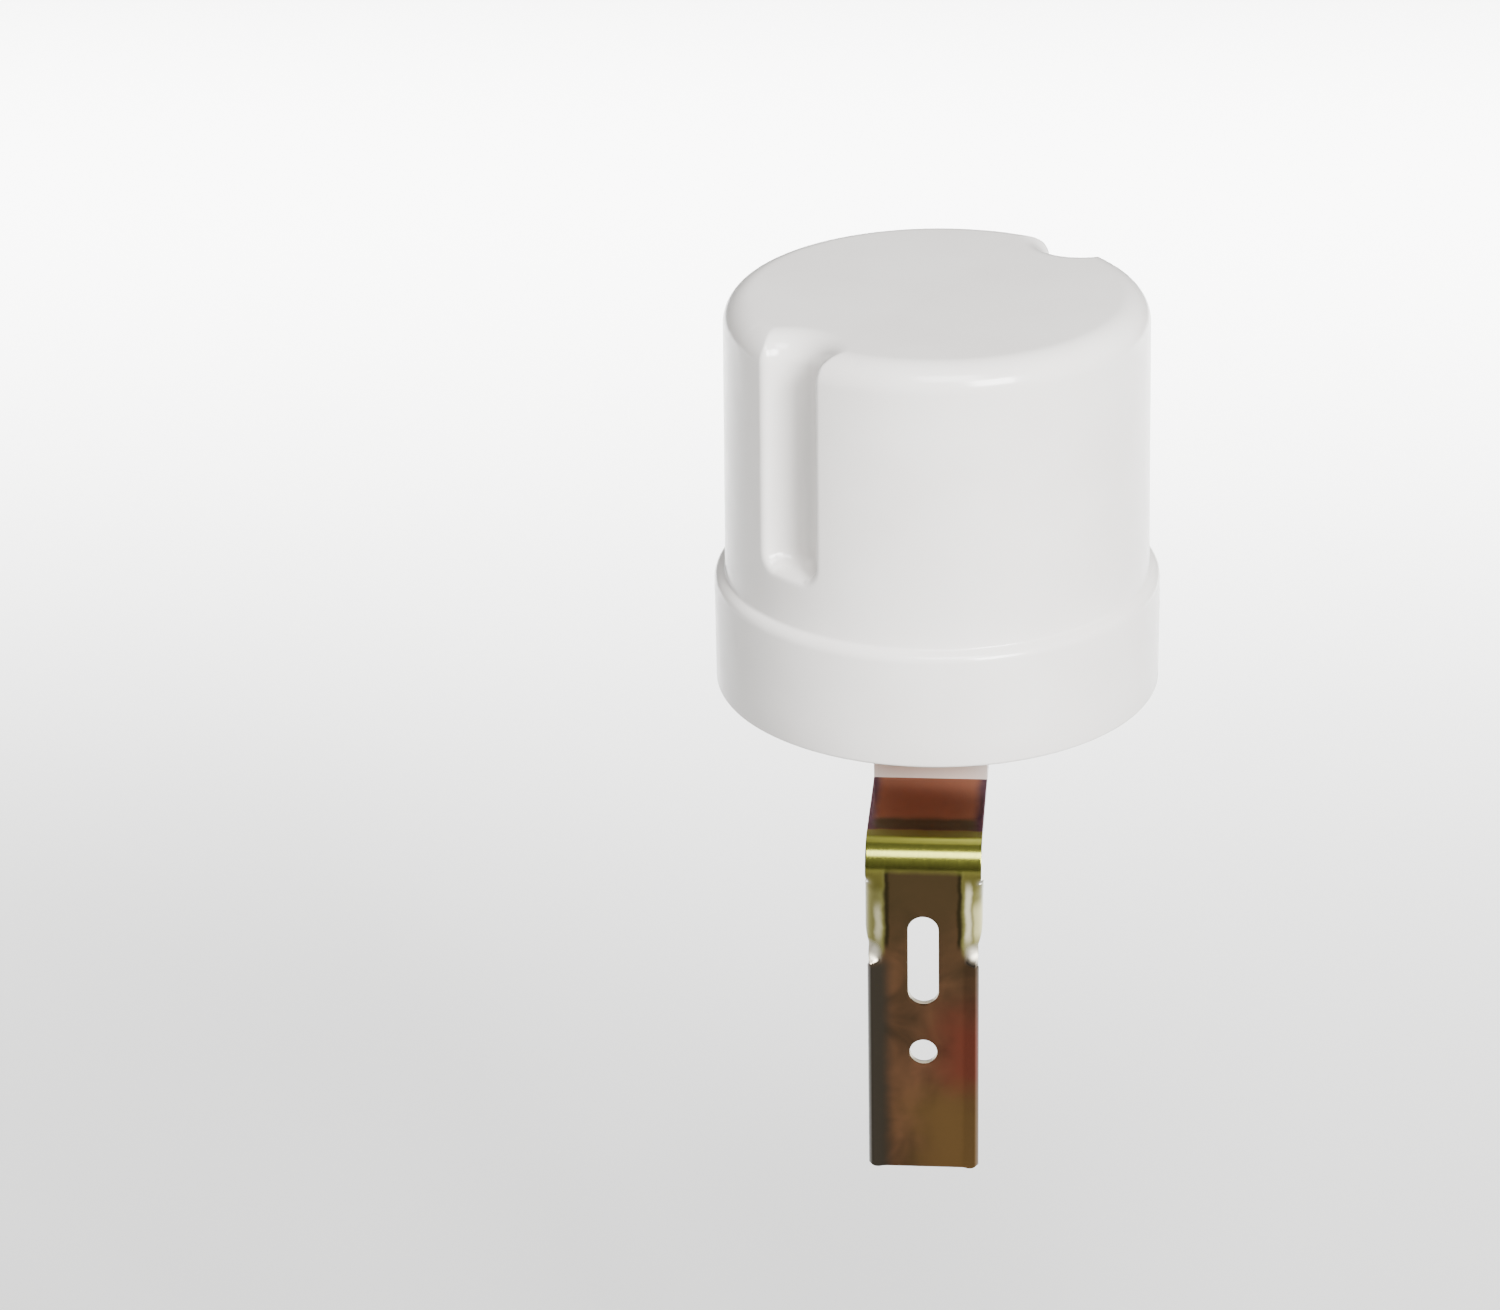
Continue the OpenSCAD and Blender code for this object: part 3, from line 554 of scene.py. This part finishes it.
def moulded(name, light, dark, gloss, rough, peel_mm, peel_height):
    finish, tree, place = new_finish(name)
    drift = add(tree, "TexNoise", {"Vector": place, "Scale": per(DRIFT_MM), "Detail": 2.0}).outputs["Fac"]
    tone = add(tree, "ValToRGB", {"Fac": drift}, [(0.35, linear(dark)), (0.65, linear(light))])
    polish = add(tree, "TexNoise", {"Vector": place, "Scale": per(POLISH_MM), "Detail": 3.0}).outputs["Fac"]
    sheen = add(tree, "MapRange", {"Value": polish, "To Min": gloss, "To Max": rough})
    peel = add(tree, "TexNoise", {"Vector": place, "Scale": per(peel_mm), "Detail": 1.0}).outputs["Fac"]
    bump = {"Height": peel, "Distance": peel_height * MM, "Strength": PEEL_STRENGTH}
    look = {"Base Color": tone.outputs["Color"], "Roughness": sheen.outputs["Result"]}
    look["Normal"] = add(tree, "Bump", bump).outputs["Normal"]
    look["IOR"] = PLASTIC_IOR
    shade(tree, look)
    return finish


# %% Plastic finishes
# Name, light and dark colour, least and most roughness, and the peel's size and height in millimetres.
PLASTICS = {
    # Clean white with small, bright highlights along the crown and shoulder.
    "cap_plastic": ("white_abs_moulded", "#F0EDE9", "#EBE7E3", 0.13, 0.22, 1.6, 0.005),
    # Warmer, darker, duller white: painted shade under the skirt and a painted reflection of the red arm.
    "base_plastic": ("white_abs_satin_painted_shade", "#DFD2C8", "#D8CABF", 0.38, 0.5, 0.8, 0.012),
    # Soft black tubing.
    "sleeve_plastic": ("black_pvc_sleeve", "#2A2A2A", "#1E1E1F", 0.4, 0.55, 0.5, 0.01),
    # Even blue with a half gloss.
    "relay_shell": ("blue_pbt_moulded", "#2F5FA8", "#27539A", 0.25, 0.38, 0.8, 0.008),
    # Dull black.
    "relay_floor": ("black_pbt_moulded", "#26262A", "#1B1B1E", 0.4, 0.55, 0.6, 0.01),
    # Milky cream.
    "bobbin_plastic": ("natural_nylon_moulded", "#E4DFCC", "#D8D1B8", 0.35, 0.5, 0.6, 0.008),
    # Amber under a wet-looking lacquer.
    "cell_face": ("clear_lacquer_on_cell", "#D79A5A", "#B9692F", 0.12, 0.22, 0.5, 0.004),
    # Glossy, slightly lumpy red.
    "film_coat": ("red_epoxy_dipped", "#A8362A", "#8E2419", 0.15, 0.3, 1.5, 0.03),
    # Tight dark blue film.
    "can_sleeve": ("dark_pet_sleeve", "#2B3460", "#20284C", 0.2, 0.3, 0.8, 0.006),
    # Matt black with a fine grain.
    "diode_epoxy": ("black_epoxy_moulded", "#232323", "#161616", 0.45, 0.6, 0.25, 0.008),
    # Shiny orange bead.
    "zener_coat": ("orange_glass_bead", "#C96A2C", "#A34518", 0.05, 0.14, 0.5, 0.004),
    # Glossy, slightly lumpy blue.
    "varistor_coat": ("blue_epoxy_dipped", "#3E63B4", "#2C4C94", 0.18, 0.32, 1.4, 0.03),
}
finishes = {slot: moulded(*row) for slot, row in PLASTICS.items()}
print("moulded finishes", len(finishes))

# %% [markdown]
# ### Bright metals
# Screws, wires and relay iron are plated bright, with fine marks left by rolling, drawing or turning.
# Stretched noise gives those marks: it is squeezed across them and drawn out along them.

# %% Bright metal finishes
MARK_HEIGHT, MARK_STRENGTH = 0.01, 0.4


def bright_metal(name, light, dark, gloss, rough, mark_mm, stretch):
    finish, tree, place = new_finish(name)
    drawn = add(tree, "Mapping", {"Vector": place, "Scale": stretch}).outputs["Vector"]
    marks = add(tree, "TexNoise", {"Vector": drawn, "Scale": per(mark_mm), "Detail": 4.0}).outputs["Fac"]
    tone = add(tree, "ValToRGB", {"Fac": marks}, [(0.3, linear(dark)), (0.7, linear(light))])
    sheen = add(tree, "MapRange", {"Value": marks, "To Min": gloss, "To Max": rough})
    bump = {"Height": marks, "Distance": MARK_HEIGHT * MM, "Strength": MARK_STRENGTH}
    look = {"Base Color": tone.outputs["Color"], "Roughness": sheen.outputs["Result"]}
    look["Normal"] = add(tree, "Bump", bump).outputs["Normal"]
    look["Metallic"] = 1.0
    shade(tree, look)
    return finish


# Name, light and dark colour, least and most roughness, size of the marks and how they are squeezed.
METALS = {
    # Cool silver with rings from turning.
    "screw_steel": ("zinc_plated_steel_turned", "#D6D7D6", "#AEB0B2", 0.2, 0.38, 0.6, (1, 1, 4)),
    # Pale, slightly warm silver.
    "tinned_wire": ("tinned_copper_drawn", "#DCDBD6", "#BEBCB6", 0.22, 0.36, 0.3, (4, 0.4, 4)),
    # Warm grey sheen with long marks.
    "relay_iron": ("nickel_plated_iron_rolled", "#C8C6C0", "#A3A19B", 0.25, 0.42, 0.4, (0.3, 3, 3)),
    # Yellow sheen with long marks.
    "contact_brass": ("rolled_brass", "#D9B566", "#B48C3E", 0.2, 0.34, 0.4, (0.3, 3, 3)),
}
finishes.update({slot: bright_metal(*row) for slot, row in METALS.items()})
print("metal finishes added, now", len(finishes))

# %% [markdown]
# ### Board, winding and resistors
# The board is brown phenolic paper, with long pale fibres in it. The winding is fine copper wire, drawn
# coarser than its real tenth of a millimetre so that the turns show.

# %% Board and winding finishes
FIBRE_MM, TURN_MM, WAVE_RATE = 0.9, 0.35, 20
board, tree, place = new_finish("phenolic_paper_pressed")
pulled = add(tree, "Mapping", {"Vector": place, "Scale": (0.25, 1.0, 1.6)}).outputs["Vector"]
fibres = add(tree, "TexNoise", {"Vector": pulled, "Scale": per(FIBRE_MM), "Detail": 5.0}).outputs["Fac"]
tone = add(tree, "ValToRGB", {"Fac": fibres}, [(0.3, linear("#9A6F37")), (0.72, linear("#C79B5B"))])
relief = add(tree, "Bump", {"Height": fibres, "Distance": 0.02 * MM, "Strength": 0.4})
look = {"Base Color": tone.outputs["Color"], "Normal": relief.outputs["Normal"], "Roughness": 0.42}
shade(tree, look)
finishes["board_laminate"] = board

winding, tree, place = new_finish("enamelled_copper_wound")
wave = {"Vector": place, "Scale": per(TURN_MM) * math.tau / WAVE_RATE, "Distortion": 0.6}
turns = add(tree, "TexWave", wave, bands_direction="Y").outputs["Fac"]
tone = add(tree, "ValToRGB", {"Fac": turns}, [(0.0, linear("#7A3413")), (1.0, linear("#D98A50"))])
relief = add(tree, "Bump", {"Height": turns, "Distance": 0.08 * MM, "Strength": 0.8})
look = {"Base Color": tone.outputs["Color"], "Normal": relief.outputs["Normal"]}
shade(tree, {**look, "Metallic": 1.0, "Roughness": 0.28})
finishes["winding_copper"] = winding
print("finishes", len(finishes))

# %% [markdown]
# The resistors wear coloured bands round a tan lacquer, all at the same height on each.

# %% Resistor finish
BODY_HALF = 3.2
TAN, BROWN, BLACK, RED, GOLD = "#C8A877", "#7A4A21", "#1C1C1C", "#B33A1E", "#B8933C"
STRIPES = [(0.0, TAN), (0.16, BROWN), (0.26, TAN), (0.36, BLACK), (0.46, TAN)]
STRIPES += [(0.56, RED), (0.66, TAN), (0.8, GOLD), (0.9, TAN)]
banded, tree, place = new_finish("tan_lacquer_with_bands")
resistor_low, resistor_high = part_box("resistors")
resistor_mid = (resistor_low.z + resistor_high.z) / 2
height = add(tree, "SeparateXYZ", {"Vector": place}).outputs["Z"]
ends = {"From Min": resistor_mid - BODY_HALF * MM, "From Max": resistor_mid + BODY_HALF * MM}
span = add(tree, "MapRange", {"Value": height, **ends}).outputs["Result"]
bands = add(tree, "ValToRGB", {"Fac": span}, [(at, linear(code)) for at, code in STRIPES])
bands.color_ramp.interpolation = "CONSTANT"
lacquer = add(tree, "TexNoise", {"Vector": place, "Scale": per(1.2), "Detail": 2.0}).outputs["Fac"]
relief = add(tree, "Bump", {"Height": lacquer, "Distance": 0.02 * MM, "Strength": 0.4})
look = {"Base Color": bands.outputs["Color"], "Normal": relief.outputs["Normal"], "Roughness": 0.24}
shade(tree, look)
finishes["resistor_coat"] = banded
print("finishes", len(finishes))

# %% [markdown]
# ### Yellow-passivated zinc
# The bracket's zinc was dipped in a chromate bath. The film that this leaves is only as thick as a wave of
# light, so its colour changes with its thickness: brown on the flat plate, red on the arm, and olive to gold
# where the sheet was stretched round the bends. Some zones are painted light instead: painted highlights on
# the ears, at their feet and on the right ear's rim, a painted reflection in the holes and in the ears' olive,
# and painted shade beside and atop the ears, on the upper bend, on the arm by the bend and on the left lip.
# The zones are read from Object coordinates, which noise pushes about so that their edges wander.

# %% Coordinates of the plating
plated, tree, place = new_finish("zinc_yellow_passivated")


def wandering(size_mm, reach_mm):
    noise = add(tree, "TexNoise", {"Vector": place, "Scale": per(size_mm), "Detail": 3.0}).outputs["Color"]
    push = add(tree, "VectorMath", {0: noise, 1: (0.5, 0.5, 0.5)}, operation="SUBTRACT").outputs["Vector"]
    reach = add(tree, "VectorMath", {0: push, "Scale": reach_mm * MM}, operation="SCALE").outputs["Vector"]
    there = add(tree, "VectorMath", {0: place, 1: reach}, operation="ADD").outputs["Vector"]
    return add(tree, "SeparateXYZ", {"Vector": there}).outputs


across, back, up = wandering(3, 0.9)
far_across, _, far_up = wandering(7, 7.0)
_, depth, _ = add(tree, "SeparateXYZ", {"Vector": place}).outputs
outward = add(tree, "Math", {0: across}, operation="ABSOLUTE").outputs["Value"]
print("plating zones for", plated.name)

# %% [markdown]
# Each layer of colour has a list of limits: a coordinate, where the layer starts along it and where it is
# full, in millimetres. The limits are multiplied, and the layer is laid over those before it.

# %% List the plating's layers
ARM = [(back, 6.0, 6.8), (up, 33.0, 34.0)]
EAR = [(outward, 5.9, 6.7), (up, 16.8, 19.8)]
# Masks of the painted highlights on the ears and of the painted reflection in the holes.
LEFT_EAR_HIGHLIGHT = [(across, -6.4, -7.2), (across, -8.2, -7.4), (up, 19.0, 22.0), (up, 28.0, 25.0)]
RIGHT_EAR_HIGHLIGHT = [(across, 6.5, 7.2), (across, 8.1, 7.4), (up, 19.0, 22.0), (up, 32.0, 28.5)]
HOLE_WALL_REFLECTION = [(depth, 0.1, 0.25), (depth, 1.1, 0.95), (outward, 3.8, 3.3), (up, 27.0, 25.0)]
LAYERS = {
    # The plate is laid darker towards the top.
    "plate darker towards the top": ("#473A26", [(far_up, 4.0, 34.0)]),
    "red patch": ("#67372A", [(far_across, -1.5, 7.5), (far_up, 13.0, 3.0), (far_up, -14.0, -3.0)]),
    "ochre foot": ("#614A2C", [(far_across, -6.0, 3.5), (far_up, -2.0, -12.0)]),
    # Painted shade: the left lip is laid darker than the plate.
    "painted shade on the left lip": ("#37322A", [(across, -4.4, -7.0), (up, 18.3, 15.3)]),
    # Painted shade: a dark line along the crease where the ears turn back.
    "line beside the ears": ("#2F2818", [(outward, 5.2, 5.8), (up, 18.3, 20.3)]),
    # The ears' olive is partly the film's colour and partly a painted reflection of the bright floor beside.
    "ears": ("#7F7B48", EAR),
    # Painted shade: the ears' tops darken into the corner under the bend.
    "painted shade at the ear tops": ("#65602F", EAR + [(up, 28.5, 30.5)]),
    # Painted highlight: a pale streak down the left ear.
    "painted highlight on the left ear": ("#CFC9A0", LEFT_EAR_HIGHLIGHT),
    # Painted highlight: a pale streak down the right ear.
    "painted highlight on the right ear": ("#E2DBB4", RIGHT_EAR_HIGHLIGHT),
    # Painted highlight: a pale band along the right ear's outer rim.
    "painted highlight on the right ear rim": ("#D6D093", [(across, 7.8, 8.5), (up, 19.0, 22.0), (up, 28.0, 25.0)]),
    # Painted highlight: whitish flares at the ears' feet.
    "painted highlight at the ear feet": ("#D9D3C0", [(outward, 6.4, 8.0), (up, 16.1, 17.9), (up, 20.3, 18.5)]),
    "bend": ("#85863C", [(up, 32.0, 34.6)]),
    # Painted shade: a darker olive band on the upper part of the bend.
    "painted shade on the upper bend": ("#6C6D2D", [(back, 1.9, 3.3), (up, 33.0, 34.0)]),
    "arm": ("#8E5A40", ARM),
    # Painted shade: the arm darkens towards the bend's corner.
    "painted shade on the arm by the bend": ("#453A1E", ARM + [(back, 11.6, 9.4)]),
    "arm edges": ("#4C2A3D", ARM + [(outward, 7.2, 9.0)]),
    # Painted reflection: the hole walls are laid pale, as if mirroring the bright room.
    "painted reflection in the hole walls": ("#D9D3C0", HOLE_WALL_REFLECTION),
}
print("layers", len(LAYERS))

# %% Lay the plating's colours
PATCH_MM = 9
noise = {"Vector": place, "Scale": per(PATCH_MM), "Detail": 3.0, "Distortion": 0.6}
patches = add(tree, "TexNoise", noise).outputs["Fac"]
tone = add(tree, "ValToRGB", {"Fac": patches}, [(0.34, linear("#3B2F22")), (0.68, linear("#694A35"))])
film = tone.outputs["Color"]
shares = {}
for layer, (code, limits) in LAYERS.items():
    share = 1.0
    for value, start, full in limits:
        ends = {"Value": value, "From Min": start * MM, "From Max": full * MM}
        ramp = add(tree, "MapRange", ends, interpolation_type="SMOOTHSTEP").outputs["Result"]
        share = add(tree, "Math", {0: share, 1: ramp}, operation="MULTIPLY").outputs["Value"]
    film = add(tree, "Mix", {0: share, 6: film, 7: linear(code)}, data_type="RGBA").outputs[2]
    shares[layer] = share
print("plating colours", len(tree.nodes), "nodes so far")

# %% [markdown]
# The film is glossy, with fine scratches along the strip. It is dull at the ears' feet and in the holes,
# where the tool tore the sheet; the pale colour there is a painted highlight and a painted reflection.

# %% Gloss of the plating
SCRATCH_MM, TORN_ROUGHNESS = 0.8, 0.55
streaked = add(tree, "Mapping", {"Vector": place, "Scale": (3.0, 1.0, 0.35)}).outputs["Vector"]
noise = {"Vector": streaked, "Scale": per(SCRATCH_MM), "Detail": 5.0}
scratches = add(tree, "TexNoise", noise).outputs["Fac"]
sheen = add(tree, "MapRange", {"Value": scratches, "To Min": 0.13, "To Max": 0.27}).outputs["Result"]
# The rough zones match the painted highlight at the ear feet and the painted reflection in the holes.
feet_and_hole_walls = add(tree, "Math", {0: shares["painted highlight at the ear feet"], 1: shares["painted reflection in the hole walls"]}, operation="MAXIMUM")
worn = add(tree, "Mix", {0: feet_and_hole_walls.outputs["Value"], 2: sheen, 3: TORN_ROUGHNESS}).outputs[0]
relief = add(tree, "Bump", {"Height": scratches, "Distance": 0.012 * MM, "Strength": 0.3})
look = {"Base Color": film, "Roughness": worn, "Normal": relief.outputs["Normal"], "Metallic": 1.0}
shade(tree, look)
finishes["plated_steel"] = plated
print("plated finish", plated.name)

# %% [markdown]
# ### Floor paper
# The stage is plain studio paper with a trace of tooth. It is the graduated kind, white behind the object and
# pale grey in front, so that the plating mirrors a quieter floor than the one the camera sees.

# %% Paper finish
GREY_AT, WHITE_AT, TOOTH_MM = -0.2, 0.25, 3
paper, tree, place = new_finish("graduated_paper_matt")
tooth = add(tree, "TexNoise", {"Vector": place, "Scale": per(TOOTH_MM), "Detail": 4.0}).outputs["Fac"]
relief = add(tree, "Bump", {"Height": tooth, "Distance": 0.05 * MM, "Strength": 0.2})
away = add(tree, "SeparateXYZ", {"Vector": place}).outputs["Y"]
ends = {"Value": away, "From Min": GREY_AT, "From Max": WHITE_AT}
behind = add(tree, "MapRange", ends, interpolation_type="SMOOTHSTEP").outputs["Result"]
grade = add(tree, "ValToRGB", {"Fac": behind}, [(0.0, linear("#ACACAB")), (1.0, linear("#F4F4F3"))])
look = {"Base Color": grade.outputs["Color"], "Normal": relief.outputs["Normal"], "Roughness": 0.9}
shade(tree, look)
floor.data.materials.append(paper)
print("floor finish", paper.name)

# %% [markdown]
# ## Dress every node
# The record says which slot each node takes its finish from. The two new pieces take theirs the same way.

# %% Give out the finishes
for part in frame["record"]["subparts"]:
    obj = frame["nodes"][part["node"]]
    if not obj.material_slots:
        obj.data.materials.append(None)
    for holder in obj.material_slots:
        holder.material = finishes[part["material_slot"]]
for piece, slot_name in ((cap, "cap_plastic"), (bracket, "plated_steel")):
    piece.data.materials.clear()
    piece.data.materials.append(finishes[slot_name])
